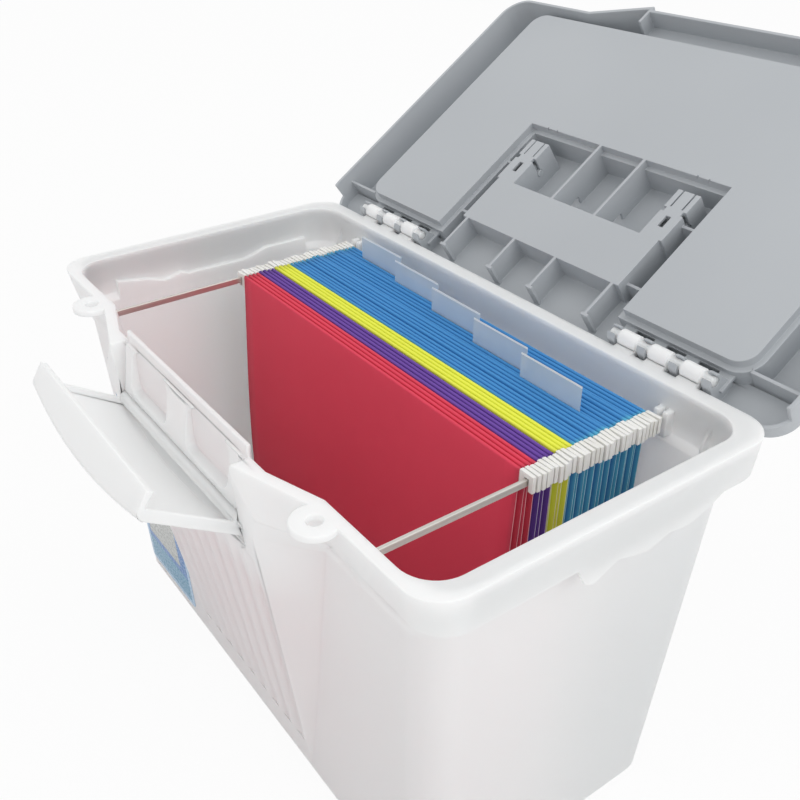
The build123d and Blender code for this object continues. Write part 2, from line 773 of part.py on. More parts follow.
with BuildPart() as lid_shell:
    # outer form
    lid_plans = [
        (lid_bottom, 0),
        (lid_top_height - lid_edge, lid_lean),
        (lid_top_height, lid_lean + lid_edge),
    ]
    for pair in (lid_plans[:2], lid_plans[1:]):
        for height, inset in pair:
            with BuildSketch(Plane.XY.offset(height)):
                lid_outline(inset)
        loft()
        for height, inset in pair:
            with BuildSketch(Plane.XY.offset(height)):
                lid_nose(inset)
        loft()
    # hollow underneath
    for height, inset in ((lid_bottom, lid_wall), (lid_ceiling, lid_lean + lid_wall)):
        with BuildSketch(Plane.XY.offset(height)):
            lid_outline(inset)
    loft(mode=Mode.SUBTRACT)
    for height, inset in ((lid_bottom, lid_wall), (lid_ceiling, lid_lean + lid_wall)):
        with BuildSketch(Plane.XY.offset(height)):
            lid_nose(inset)
    loft(mode=Mode.SUBTRACT)
    # tray panels hanging from the top, stepped round their edge
    with BuildSketch(Plane.XY.offset(groove_step_height)):
        tray_panel(groove_step_width)
    extrude(amount=lid_ceiling - groove_step_height)
    with BuildSketch(Plane.XY.offset(lid_panel_height)):
        tray_panel(0)
    extrude(amount=groove_step_height - lid_panel_height)
    # bottom of the handle recess, with a ramp towards the front, and its two tongues
    with BuildSketch(Plane.YZ):
        with BuildLine() as ramp:
            Polyline((recess_front, lid_panel_height), (bay_back, lid_panel_height))
            Polyline((bay_back, lid_panel_height), (bay_back, lid_ceiling), (ramp_front, lid_ceiling))
            Spline(
                (ramp_front, lid_ceiling),
                (recess_front, lid_panel_height),
                tangents=((1, -ramp_foot_slope), (0.1, -1)),
            )
        make_face()
    extrude(amount=tongue_inner, both=True)
    with BuildSketch(Plane.XY.offset(lid_panel_height)):
        for side in (-1, 1):
            low = side * tongue_inner
            high = side * recess_half
            plan_box(min(low, high), max(low, high), recess_front, bay_back)
            high = side * tongue_outer
            plan_box(min(low, high), max(low, high), tongue_front, recess_front)
    extrude(amount=lid_ceiling - lid_panel_height)
    # lower ceiling of the strip along the hinge
    with BuildSketch(Plane.XY.offset(bay_ceiling)):
        plan_box(-bay_half - lid_skin, bay_half + lid_skin, bay_back - lid_skin, lid_back - 3 * lid_lean)
    extrude(amount=lid_top_height - bay_ceiling - lid_skin / 2)
    with BuildSketch(Plane.XY.offset(bay_ceiling)):
        lid_outline(lid_lean)
        plan_box(-lid_half_length, lid_half_length, tray_back, 2 * lid_back, mode=Mode.INTERSECT)
    extrude(amount=lid_skin)
    # hollows from above: doors, trays, centre dish, handle recess and the strip along the hinge
    for side in (-1, 1):
        with BuildSketch(Plane.XY.offset(door_floor)):
            tray_well(side, tray_edge, tray_radius)
        cut_from_top(door_floor)
        with BuildSketch(Plane.XY.offset(door_relief_height)):
            tray_well(side, tray_edge, door_relief_radius)
        cut_from_top(door_relief_height)
        with BuildSketch(Plane.XY.offset(groove_step_height + lid_wall)):
            tray_well(side, tray_edge - door_ledge, tray_radius)
        cut_from_top(groove_step_height + lid_wall)
        with BuildSketch(Plane.XY.offset(lid_panel_height + tray_floor)):
            tray_well(side, -lid_wall, tray_radius - lid_wall)
        cut_from_top(lid_panel_height + tray_floor)
        with BuildSketch(Plane.XY.offset(lid_panel_height + tray_floor)):
            low = side * (tongue_inner + lid_wall)
            high = side * (recess_half - lid_wall)
            plan_box(min(low, high), max(low, high), recess_front - lid_wall, bay_back - lid_wall)
            high = side * (tongue_outer - lid_wall)
            plan_box(min(low, high), max(low, high), tongue_front + lid_wall, recess_front)
        cut_from_top(lid_panel_height + tray_floor)
    with BuildSketch(Plane.XY.offset(lid_panel_height + tray_floor)):
        dish_inner = dish_half - lid_wall
        plan_box(-dish_inner, dish_inner, lid_wall - tray_front, tray_neck - lid_wall, dish_radius)
    cut_from_top(lid_panel_height + tray_floor)
    with BuildSketch(Plane.YZ):
        with BuildLine() as ramp_top:
            Polyline(
                (recess_front + lid_wall, lid_panel_height + tray_floor),
                (bay_back - lid_wall, lid_panel_height + tray_floor),
                (bay_back - lid_wall, lid_top_height),
                (ramp_front + 2 * lid_wall, lid_top_height),
            )
            Spline(
                (ramp_front + 2 * lid_wall, lid_top_height),
                (recess_front + lid_wall, lid_panel_height + tray_floor),
                tangents=((1, -ramp_foot_slope), (0.1, -1)),
            )
        make_face()
    extrude(amount=tongue_inner + lid_wall, both=True, mode=Mode.SUBTRACT)
    with BuildSketch(Plane.XY.offset(back_step_height)):
        plan_box(-bay_half, bay_half, bay_back, 2 * lid_back)
        plan_box(-2 * lid_half_length, 2 * lid_half_length, tray_back + groove_step_width, 2 * lid_back)
    cut_from_top(back_step_height)
    # the skirt ends at the hinge, and the back edge stands clear of the barrels
    with BuildSketch(Plane.YZ):
        with Locations(((back_notch + 2 * lid_back) / 2, lid_back_edge_height - lid_top_height / 2)):
            Rectangle(2 * lid_back - back_notch, lid_top_height)
    extrude(amount=2 * lid_half_length, both=True, mode=Mode.SUBTRACT)
    # ribs under the lid
    with BuildSketch(Plane.XY.offset(lid_panel_height)):
        for side in (-1, 1):
            for rib_x in (rib_near_x, rib_far_x):
                with Locations((side * rib_x, (bay_back + hinge_back) / 2)):
                    Rectangle(rib_thickness, hinge_back - bay_back)
            with Locations((side * rib_near_x, (tray_neck + recess_front) / 2)):
                Rectangle(rib_thickness, recess_front - tray_neck)
    extrude(amount=bay_ceiling - lid_panel_height)
    with BuildSketch(Plane.XY.offset(bay_ceiling)):
        for side in (-1, 1):
            with Locations((side * rib_near_x, (tray_neck + ramp_front) / 2)):
                Rectangle(rib_thickness, ramp_front - tray_neck)
    extrude(amount=lid_ceiling - bay_ceiling)
    # flange on the end of each rib along the hinge
    with BuildSketch(Plane.XY.offset(lid_panel_height)):
        for rib_x in (-rib_far_x, -rib_near_x, rib_near_x, rib_far_x):
            with Locations((rib_x, hinge_back - rib_thickness / 2)):
                Rectangle(rib_flange, rib_thickness)
    extrude(amount=bay_ceiling - lid_panel_height)
    # plate beside each hinge station, with a window by every barrel
    with BuildSketch(Plane.XY.offset(window_plate_height)):
        for side in (-1, 1):
            with Locations((side * hinge_station_x, (tray_back + hinge_back) / 2)):
                Rectangle(2 * window_plate_half, hinge_back - tray_back)
            for index in range(barrel_count):
                window_x = side * hinge_station_x + (index - (barrel_count - 1) / 2) * barrel_pitch
                with Locations((window_x, tray_back + window_gap + window_depth / 2)):
                    Rectangle(barrel_length, window_depth, mode=Mode.SUBTRACT)
    extrude(amount=lid_skin)
    # webs across the groove and out to the skirt
    with BuildSketch(Plane.XY.offset(groove_step_height)):
        for side in (-1, 1):
            for web_y in (bay_back - web_back, bay_back - web_front):
                with Locations((side * (recess_half + tray_inner) / 2, web_y)):
                    Rectangle(tray_inner - recess_half + rib_thickness, rib_thickness)
            with Locations((side * (tray_outer + lid_half_length - lid_lean) / 2, tray_back - rib_thickness)):
                Rectangle(lid_half_length - lid_lean - tray_outer, rib_thickness)
    extrude(amount=lid_ceiling - groove_step_height)
    # C-shaped hooks that clip over the hinge pins
    for side in (-1, 1):
        for index in range(barrel_count + 1):
            hook_x = side * hinge_station_x + (index - barrel_count / 2) * barrel_pitch
            with BuildSketch(Plane.YZ.offset(hook_x)):
                with Locations((hinge_back, hinge_height)):
                    RegularPolygon(hook_radius, barrel_flats)
                Polygon(
                    (hinge_back - hook_radius, hinge_height),
                    (tray_back + groove_step_width, bay_ceiling),
                    (lid_back - 2 * lid_wall, bay_ceiling),
                    (hinge_back + hook_radius, hinge_height),
                    align=None,
                )
                with Locations((hinge_back, hinge_height)):
                    RegularPolygon(
                        hinge_pin_radius + hook_gap, barrel_flats, major_radius=False, mode=Mode.SUBTRACT
                    )
                with Locations((hinge_back, hinge_height - hook_radius)):
                    Rectangle(hook_mouth, 2 * hook_radius, mode=Mode.SUBTRACT)
            extrude(amount=hook_width / 2, both=True)
    # the latch's bay in the front edge: the wall is set back and steps down to a catch ledge
    cheek_front = nose_rim_front - lid_lean - nose_side_share
    with BuildSketch(Plane.XY.offset(lid_bottom)):
        plan_box(-latch_bay_half - lid_wall, latch_bay_half + lid_wall, -cheek_front, lid_wall - catch_front)
        plan_box(-latch_bay_half - lid_wall, -latch_bay_half, -cheek_front, lid_wall - catch_back)
        plan_box(latch_bay_half, latch_bay_half + lid_wall, -cheek_front, lid_wall - catch_back)
    extrude(amount=lid_ceiling - lid_bottom)
    with BuildSketch(Plane.XY.offset(catch_height - lid_skin)):
        plan_box(-latch_bay_half, latch_bay_half, lid_wall - catch_front, lid_wall - catch_back)
    extrude(amount=lid_ceiling - catch_height + lid_skin)
    with BuildSketch(Plane.XY.offset(lid_bottom)):
        plan_box(-latch_bay_half, latch_bay_half, -2 * nose_rim_front, -catch_front)
    extrude(amount=lid_top_height, mode=Mode.SUBTRACT)
    with BuildSketch(Plane.XY.offset(catch_height)):
        plan_box(-latch_bay_half, latch_bay_half, -2 * nose_rim_front, -catch_back)
    extrude(amount=lid_top_height, mode=Mode.SUBTRACT)
    # holes for the pins of the handle and the doors
    for side in (-1, 1):
        with BuildSketch(Plane.YZ.offset(side * (tongue_inner + tongue_outer) / 2)):
            with Locations((pivot_y, pivot_height)):
                Circle(handle_pin_radius + handle_pin_gap)
        extrude(amount=(tongue_outer - tongue_inner) / 2, both=True, mode=Mode.SUBTRACT)
        with BuildSketch(Plane.XZ.offset((door_front - door_back) / 2)):
            with Locations((side * door_pin_x, door_pin_height)):
                RegularPolygon(door_pin_radius + door_pin_gap, door_hole_flats, major_radius=False)
        extrude(amount=door_reach, both=True, mode=Mode.SUBTRACT)
    # keyholes that the handle's pins snap in through, and a sprung finger beside each
    for side in (-1, 1):
        tongue_x = side * (tongue_inner + tongue_outer) / 2
        with BuildSketch(Plane.XY.offset(lid_panel_height)):
            for wall_x in (tongue_inner + lid_wall / 2, tongue_outer - lid_wall / 2):
                with Locations((side * wall_x, pivot_y)):
                    Rectangle(lid_wall, keyhole_width)
        extrude(amount=pivot_height - lid_panel_height, mode=Mode.SUBTRACT)
        with BuildSketch(Plane.XY.offset(lid_panel_height)):
            with Locations((tongue_x, pivot_y + snap_slot_length)):
                Rectangle(snap_slot_width, snap_slot_length)
            for slit in (-1, 1):
                with Locations((tongue_x + slit * (snap_slot_width / 2 + snap_slit_gap), tongue_front)):
                    Rectangle(snap_slit_width, 2 * snap_slit_length)
        extrude(amount=tray_floor, mode=Mode.SUBTRACT)
lid_shell.part = lid_shell.part.rotate(hinge_axis, -lid_open_angle)
lid_shell.part.label = "lid_shell"
export_step(lid_shell.part, "parts/lid_shell.step")

# ---- carry handle, folded into the lid
arm_inner = tongue_inner + lid_wall + handle_arm_gap
arm_outer = recess_half - lid_wall - handle_arm_gap
with BuildPart() as carry_handle:
    with BuildSketch(Plane.YZ):
        with Locations((grip_y, pivot_height + (arm_depth - grip_depth) / 2)):
            RectangleRounded(grip_width, grip_depth, grip_radius)
    extrude(amount=recess_half - lid_wall - handle_arm_gap, both=True)
    for side in (-1, 1):
        with BuildSketch(Plane.YZ.offset(side * (arm_inner + arm_outer) / 2)):
            with Locations((pivot_y, pivot_height)):
                Circle(arm_depth / 2)
            with Locations(((pivot_y + grip_y) / 2, pivot_height)):
                Rectangle(grip_y - pivot_y, arm_depth)
        extrude(amount=(arm_outer - arm_inner) / 2, both=True)
        with BuildSketch(Plane.YZ.offset(side * (arm_inner + arm_outer) / 2)):
            with Locations((pivot_y, pivot_height)):
                Circle(handle_pin_radius)
        extrude(amount=(tongue_outer - tongue_inner) / 2, both=True)
carry_handle.part = carry_handle.part.rotate(hinge_axis, -lid_open_angle)
carry_handle.part.label = "carry_handle"
export_step(carry_handle.part, "parts/carry_handle.step")

# ---- doors over the trays, each on two pins along its outer edge
for name, side in (("door_left", -1), ("door_right", 1)):
    with BuildPart() as door:
        with BuildSketch(Plane.XY.offset(lid_top_height - door_thickness)):
            tray_well(side, tray_edge - door_gap, tray_radius)
            with Locations((side * (tray_inner - tray_edge + door_gap), 0)):
                Circle(door_notch_radius, mode=Mode.SUBTRACT)
        extrude(amount=door_thickness)
        with BuildSketch(Plane.XZ.offset((door_front - door_back) / 2)):
            with Locations((side * door_pin_x, door_pin_height)):
                Circle(door_pin_radius)
        extrude(amount=door_reach - door_pin_gap, both=True)
    door.part = door.part.rotate(hinge_axis, -lid_open_angle)
    door.part.label = name
    export_step(door.part, f"parts/{name}.step")

# ---- hanging folders: a folded sheet with a sleeve along each top edge, and two bars in the sleeves
sleeve_middle = folder_top_height - sleeve_height / 2
counts = {}
for index, colour in enumerate(folder_colours):
    counts[colour] = counts.get(colour, 0) + 1
    front = folder_front + 2 * index * panel_pitch
    back = front + panel_pitch
    foot = floor_thickness + folder_foot_gap
    shift = folder_shifts[index % len(folder_shifts)]
    with BuildPart() as folder:
        with BuildSketch(Plane.YZ):
            for y in (front, back):
                Polygon(
                    (y - panel_thickness / 2, folder_top_height),
                    (y + panel_thickness / 2, folder_top_height),
                    (y + panel_thickness / 2 - folder_lean, foot),
                    (y - panel_thickness / 2 - folder_lean, foot),
                    align=None,
                )
                with Locations((y, sleeve_middle)):
                    Rectangle(sleeve_thickness, sleeve_height)
                    Rectangle(
                        bar_thickness + 2 * bar_slot_gap, bar_height + 2 * bar_slot_gap, mode=Mode.SUBTRACT
                    )
            with Locations(((front + back) / 2 - folder_lean, foot + panel_thickness / 2)):
                Rectangle(panel_pitch, panel_thickness)
        extrude(amount=folder_half_length, both=True)
    folder.part = folder.part.moved(Location((shift, 0, 0)))
    folder.part.label = f"folder_{colour}_{counts[colour]}"
    export_step(folder.part, f"parts/{folder.part.label}.step")
    with BuildPart() as bars:
        for y in (front, back):
            with BuildSketch(Plane.XZ.offset(-y)):
                with Locations((shift, sleeve_middle)):
                    Rectangle(2 * folder_half_length + 2 * bar_thickness, bar_height)
            extrude(amount=bar_thickness / 2, both=True)
            with BuildSketch(Plane.XZ.offset(-y)):
                for side in (-1, 1):
                    tip_x = shift + side * (folder_half_length + bar_slot_gap + tip_reach) / 2
                    with Locations((tip_x, sleeve_middle)):
                        Rectangle(tip_reach - folder_half_length - bar_slot_gap, tip_height)
                    with Locations((side * rail_x, rail_top_height + rail_clearance - tip_drop / 2)):
                        Rectangle(rail_width + 2 * tip_notch_gap, tip_drop, mode=Mode.SUBTRACT)
            extrude(amount=tip_thickness / 2, both=True)
    bars.part.label = f"bars_{colour}_{counts[colour]}"
    export_step(bars.part, f"parts/{bars.part.label}.step")

# ---- clear index tabs on the last blue folders
for index in range(tab_count):
    front = folder_front + 2 * (len(folder_colours) - 1 - index) * panel_pitch
    with BuildPart() as tab:
        with BuildSketch(Plane.XZ.offset(-front + sleeve_thickness / 2)):
            with Locations((tab_first_x + index * tab_pitch, tab_top_height - tab_height / 2)):
                Rectangle(tab_width, tab_height)
        extrude(amount=tab_thickness)
    tab.part.label = f"index_tab_{index + 1}"
    export_step(tab.part, f"parts/{tab.part.label}.step")
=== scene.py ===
import math

import bmesh
import bpy
import numpy as np
from mathutils import Matrix, Vector


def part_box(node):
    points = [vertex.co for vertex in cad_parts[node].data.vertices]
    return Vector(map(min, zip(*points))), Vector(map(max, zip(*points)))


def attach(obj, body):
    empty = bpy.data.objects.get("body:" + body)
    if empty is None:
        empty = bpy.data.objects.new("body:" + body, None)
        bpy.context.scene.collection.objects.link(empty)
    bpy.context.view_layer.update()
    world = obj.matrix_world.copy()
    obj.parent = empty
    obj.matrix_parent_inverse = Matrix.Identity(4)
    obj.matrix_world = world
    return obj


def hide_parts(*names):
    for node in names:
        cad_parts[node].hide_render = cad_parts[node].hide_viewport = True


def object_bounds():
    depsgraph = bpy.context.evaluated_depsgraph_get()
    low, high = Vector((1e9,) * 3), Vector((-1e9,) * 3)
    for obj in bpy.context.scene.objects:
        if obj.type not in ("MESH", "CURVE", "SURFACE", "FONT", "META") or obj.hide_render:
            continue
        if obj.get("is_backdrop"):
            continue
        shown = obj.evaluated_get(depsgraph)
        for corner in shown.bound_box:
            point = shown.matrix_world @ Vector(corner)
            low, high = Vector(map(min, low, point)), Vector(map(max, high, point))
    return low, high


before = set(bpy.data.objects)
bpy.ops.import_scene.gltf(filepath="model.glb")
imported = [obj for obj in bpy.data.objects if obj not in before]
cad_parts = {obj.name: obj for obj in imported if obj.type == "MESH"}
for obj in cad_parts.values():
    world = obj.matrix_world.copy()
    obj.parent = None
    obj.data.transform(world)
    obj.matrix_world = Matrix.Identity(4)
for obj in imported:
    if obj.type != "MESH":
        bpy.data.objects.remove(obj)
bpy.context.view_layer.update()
scene = bpy.context.scene
scene.view_settings.view_transform = "Standard"

# ---- Camera and studio
# A camera half a metre up looks down into the open box from its front right corner. An
# even pale room lights it, with two large soft lamps: one from the right and one overhead.
camera_place = Vector((0.4372, -0.28822, 0.54122))
camera_turn, camera_pitch, camera_roll = (math.radians(a) for a in (54.61, 31.06, 0.27))
focal_length, film_width = 42.987, 36
lens_shift = (0.013, -0.00995)
lamp_aim = Vector((0, 0, 0.2))
lamp_size = 1.6
key_place, key_power = Vector((1.9, 0.35, 1.5)), 10.5
top_place, top_power = Vector((0.1, 0.1, 2.3)), 3.5
look = Vector(
    (
        -math.sin(camera_turn) * math.cos(camera_pitch),
        math.cos(camera_turn) * math.cos(camera_pitch),
        -math.sin(camera_pitch),
    )
)
level_right = Vector((math.cos(camera_turn), math.sin(camera_turn), 0))
level_down = look.cross(level_right)
image_right = math.cos(camera_roll) * level_right + math.sin(camera_roll) * level_down
image_down = math.cos(camera_roll) * level_down - math.sin(camera_roll) * level_right
camera_data = bpy.data.cameras.new("camera")
camera_data.lens = focal_length
camera_data.sensor_width = film_width
camera_data.shift_x, camera_data.shift_y = lens_shift
camera = bpy.data.objects.new("camera", camera_data)
camera.matrix_world = Matrix.Translation(camera_place) @ Matrix(
    (image_right, -image_down, -look)
).transposed().to_4x4()
scene.collection.objects.link(camera)
scene.camera = camera


def soft_lamp(name, place, power):
    """Square area lamp aimed at the box."""
    data = bpy.data.lights.new(name, "AREA")
    data.size = lamp_size
    data.energy = power
    lamp = bpy.data.objects.new(name, data)
    lamp.location = place
    lamp.rotation_mode = "QUATERNION"
    lamp.rotation_quaternion = (lamp_aim - place).to_track_quat("-Z", "Y")
    scene.collection.objects.link(lamp)


soft_lamp("key_lamp", key_place, key_power)
soft_lamp("top_lamp", top_place, top_power)

# ---- Tub
# Injection-moulded polypropylene, translucent white with a fine matt grain outside and a
# soft gloss. One shot with the rim, the skirt, the latch seat and the hinge barrels.
tub_edge = 0.0007
moulded_index = 1.49
scatter_depths = (0.0130, 0.0122, 0.0120)
merge_distance = 2e-6
sharp_angle = math.radians(30)
face_weight = 50
bump_strength = 0.5
drift_stops = (0.35, 0.65)


class Wire:
    """A shader value: arithmetic on it adds Math nodes to its material."""

    def __init__(self, tree, socket):
        self.tree = tree
        self.socket = socket

    def add(self, kind, settings=(), output=0, **inputs):
        """Any node: its settings are set first, then its sockets.

        A socket is named with _ for a space, or as n and its number.
        """
        node = self.tree.nodes.new(kind)
        for name, value in dict(settings).items():
            if name == "stops":
                ramp = node.color_ramp.elements
                while len(ramp) < len(value):
                    ramp.new(0.5)
                for stop, (place, colour) in zip(ramp, value):
                    stop.position = place
                    stop.color = colour
            else:
                setattr(node, name, value)
        for name, value in inputs.items():
            numbered = name[0] == "n" and name[1:].isdigit()
            key = int(name[1:]) if numbered else name.replace("_", " ")
            if isinstance(value, Wire):
                self.tree.links.new(value.socket, node.inputs[key])
            else:
                node.inputs[key].default_value = value
        return Wire(self.tree, node.outputs[output])

    def maths(self, operation, left, right=0.0):
        return self.add("ShaderNodeMath", {"operation": operation}, n0=left, n1=right)

    def __add__(self, other):
        return self.maths("ADD", self, other)

    def __mul__(self, other):
        return self.maths("MULTIPLY", self, other)

    def __rsub__(self, other):
        return self.maths("SUBTRACT", other, self)

    def __gt__(self, other):
        return self.maths("GREATER_THAN", self, other)

    def __lt__(self, other):
        return self.maths("LESS_THAN", self, other)

    def between(self, low, high):
        """1 where the value lies between two limits."""
        return (self > low) * (self < high)

    def blended(self, low, high):
        """Colour that goes from low to high as the value goes from 0 to 1."""
        low, high = ((*c, 1) if isinstance(c, tuple) else c for c in (low, high))
        settings = {"data_type": "RGBA"}
        return self.add("ShaderNodeMix", settings, output=2, n0=self, n6=low, n7=high)


def finish_of(name, colour, roughness, **constants):
    """New material: its Principled shader, and its object coordinates as a Wire."""
    material = bpy.data.materials.new(name)
    material.use_nodes = True
    tree = material.node_tree
    shader = tree.nodes["Principled BSDF"]
    shader.inputs["Base Color"].default_value = (*colour, 1)
    shader.inputs["Roughness"].default_value = roughness
    for key, value in constants.items():
        shader.inputs[key.replace("_", " ")].default_value = value
    coordinates = Wire(tree, None).add("ShaderNodeTexCoord").socket.node
    return material, shader, Wire(tree, coordinates.outputs["Object"])


def feed(shader, socket, wire):
    """Link a value to one of the shader's sockets."""
    wire.tree.links.new(wire.socket, shader.inputs[socket])


def grain(place, shader, scale, height, detail=3.0):
    """Fine moulded grain: noise into a bump on the shader's normal."""
    speckle = place.add("ShaderNodeTexNoise", Vector=place, Scale=scale, Detail=detail)
    bump = place.add(
        "ShaderNodeBump", Height=speckle, Distance=height, Strength=bump_strength
    )
    feed(shader, "Normal", bump)


def tinted(place, shader, scale, low, high):
    """Slow colour drift between two shades."""
    cloud = place.add("ShaderNodeTexNoise", Vector=place, Scale=scale, Detail=2.0)
    stops = list(zip(drift_stops, ((*low, 1), (*high, 1))))
    ramp = place.add("ShaderNodeValToRGB", {"stops": stops}, n0=cloud)
    feed(shader, "Base Color", ramp)
    return cloud


def roughened(shader, cloud, low, high):
    """Roughness that goes from low to high with a noise."""
    feed(shader, "Roughness", cloud * (high - low) + low)


def moulding(node, body, width, material, segments=2):
    """Copy of a part with its doubles merged and its sharp edges rounded."""
    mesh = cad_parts[node].data.copy()
    work = bmesh.new()
    work.from_mesh(mesh)
    bmesh.ops.remove_doubles(work, verts=work.verts, dist=merge_distance)
    for face in work.faces:
        face.smooth = True
    work.to_mesh(mesh)
    work.free()
    mesh.materials.clear()
    mesh.materials.append(material)
    piece = bpy.data.objects.new(f"{node}_piece", mesh)
    scene.collection.objects.link(piece)
    bevel = piece.modifiers.new("rounded_edges", "BEVEL")
    bevel.width = width
    bevel.segments = segments
    bevel.limit_method = "ANGLE"
    bevel.angle_limit = sharp_angle
    bevel.use_clamp_overlap = False
    bevel.loop_slide = False
    flat = piece.modifiers.new("flat_faces", "WEIGHTED_NORMAL")
    flat.weight = face_weight
    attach(piece, body)
    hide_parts(node)
    return piece


polypropylene, shader, place = finish_of(
    "translucent_polypropylene",
    (0.965, 0.967, 0.965),
    0.38,
    Subsurface_Weight=0.85,
    Subsurface_Radius=scatter_depths,
    Subsurface_Scale=1.0,
    IOR=moulded_index,
)
grain(place, shader, 900.0, 0.00004)
cloud = tinted(place, shader, 6.0, (0.955, 0.958, 0.956), (0.972, 0.974, 0.972))
roughened(shader, cloud, 0.32, 0.44)
moulding("file_bin", "bin", tub_edge, polypropylene)

# ---- Label
# Printed film, glued to the flat front wall left of the nose: blue with two pale panels and
# a steel-blue foot, all plain blocks.
label_print, shader, place = finish_of(
    "label_print", (0.08, 0.25, 0.62), 0.28, Coat_Weight=0.4
)
label_low, label_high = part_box("label")
across = place.add("ShaderNodeSeparateXYZ", Vector=place)
upward = Wire(across.tree, across.socket.node.outputs["Z"])
border = 0.004
foot_high = 0.040
print_fleck = 0.02
ground_blue, fleck_blue = (0.05, 0.20, 0.52), (0.75, 0.82, 0.88)
foot_blue, edge_blue = (0.10, 0.32, 0.50), (0.42, 0.60, 0.80)
# each block: its left and right side, its foot and top, and its shade
label_blocks = [
    (label_low.x + 0.012, label_high.x - 0.020, 0.115, 0.188, (0.55, 0.68, 0.78)),
    (label_low.x + 0.017, label_low.x + 0.034, 0.127, 0.158, (0.10, 0.36, 0.62)),
    (label_low.x + 0.007, label_high.x - 0.016, 0.046, 0.104, (0.50, 0.51, 0.49)),
]
shade = ground_blue
for left, right, foot, top, block_shade in label_blocks:
    block = across.between(left, right) * upward.between(foot, top)
    shade = block.blended(shade, block_shade)
shade = (upward < foot_high).blended(shade, foot_blue)
inside = across.between(label_low.x + border, label_high.x - border) * upward.between(
    label_low.z + border, label_high.z - border
)
shade = (1 - inside).blended(shade, edge_blue)
speckle = place.add("ShaderNodeTexNoise", Vector=place, Scale=500.0, Detail=2.0)
feed(shader, "Base Color", (speckle * print_fleck).blended(shade, fleck_blue))
roughened(shader, speckle, 0.25, 0.30)
label_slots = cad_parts["label"].data.materials
label_slots.clear()
label_slots.append(label_print)

# ---- Rails
# Two straight lengths of rolled steel strip, bright on their flats and faintly drawn along
# their length. They are laid into the tub's slotted seats.
rail_edge = 0.0004
draw_lines = (900.0, 14.0, 900.0)
rail_steel, shader, place = finish_of("rail_steel", (0.66, 0.63, 0.58), 0.24, Metallic=1.0)
stretched = place.add(
    "ShaderNodeVectorMath", {"operation": "MULTIPLY"}, n0=place, n1=draw_lines
)
brushed = place.add("ShaderNodeTexNoise", Vector=stretched, Scale=1.0, Detail=3.0)
roughened(shader, brushed, 0.3, 0.55)
feed(shader, "Base Color", brushed.blended((0.56, 0.53, 0.49), (0.86, 0.84, 0.80)))
for side in ("left", "right"):
    moulding(f"rail_{side}", "bin", rail_edge, rail_steel)

# ---- Latch flap
# A curved flap that hangs on the nose and snaps over the lid's catch. It is the same
# polypropylene as the tub, moulded in one piece with its pins.
latch_edge = 0.0008
moulding("latch", "latch_flap", latch_edge, polypropylene)

# ---- Lid
# Opaque grey polypropylene with a fine matt grain, one shot with its trays, ribs and hinge
# hooks. The handle and the two doors are moulded in the same plastic and snap in.
lid_edge = 0.0004
handle_edge = 0.0006
lid_plastic, shader, place = finish_of("grey_polypropylene", (0.47, 0.495, 0.52), 0.5)
cloud = tinted(place, shader, 5.0, (0.455, 0.48, 0.505), (0.485, 0.51, 0.535))
grain(place, shader, 1200.0, 0.00005)
roughened(shader, cloud, 0.38, 0.56)
moulding("lid_shell", "lid", lid_edge, lid_plastic)
moulding("carry_handle", "handle", handle_edge, lid_plastic)
moulding("door_left", "left_door", lid_edge, lid_plastic)
moulding("door_right", "right_door", lid_edge, lid_plastic)

# ---- Hanging folders
# One sheet of coloured card, folded at its foot, with a sleeve turned inwards along each top
# edge round a steel bar with a white plastic hook pressed on each end. The cut edges show
# the paler core of the card.
folder_order = ["red"] * 2 + ["purple"] * 2 + ["yellow"] * 2 + ["blue"] * 9
folder_shades = {
    "red": ((0.77, 0.056, 0.105), (0.90, 0.42, 0.47)),
    "purple": ((0.16, 0.065, 0.38), (0.62, 0.50, 0.74)),
    "yellow": ((0.86, 0.90, 0.08), (0.93, 0.94, 0.62)),
    "blue": ((0.06, 0.29, 0.64), (0.42, 0.74, 0.84)),
}
# shades painted on the last few millimetres at each end of the cards: painted light on blue,
# painted shade on red and purple
painted_end_shades = {
    "red": (0.62, 0.06, 0.10),
    "purple": (0.12, 0.05, 0.30),
    "yellow": (0.86, 0.86, 0.10),
    "blue": (0.12, 0.52, 0.72),
}
# where along X the painted light and shade at the card ends begins and ends, and how strong
# it gets
painted_end_from, painted_end_to, most_painted_end = 0.1455, 0.1488, 0.75
card_thickness = 0.0005
panel_pitch = 0.00327
sleeve_half = 0.00093
sleeve_depth = 0.0105
folder_lean = 0.0046
folder_foot = 0.0192
first_front = -0.001
front_bow, bow_fade = 0.0042, 1.6
most_wave, wave_step = 0.0012, 2.1
height_spread, place_spread = 0.0012, 0.0003
tip_edge = 0.00025
tip_root, tip_reach = 0.149, 0.0105
least_rake, most_rake = (-0.0003, -0.0009), (0.0003, 0.0004)
foot_narrowing, foot_flatness, bow_skew, wave_angle = 0.45, 0.7, 0.3, 2.5
turn_points, drop_points, tongue_points, length_points = 9, 18, 3, 25
card_dark, card_light, card_lift = 0.93, 1.05, 0.004
uneven_seed = 7


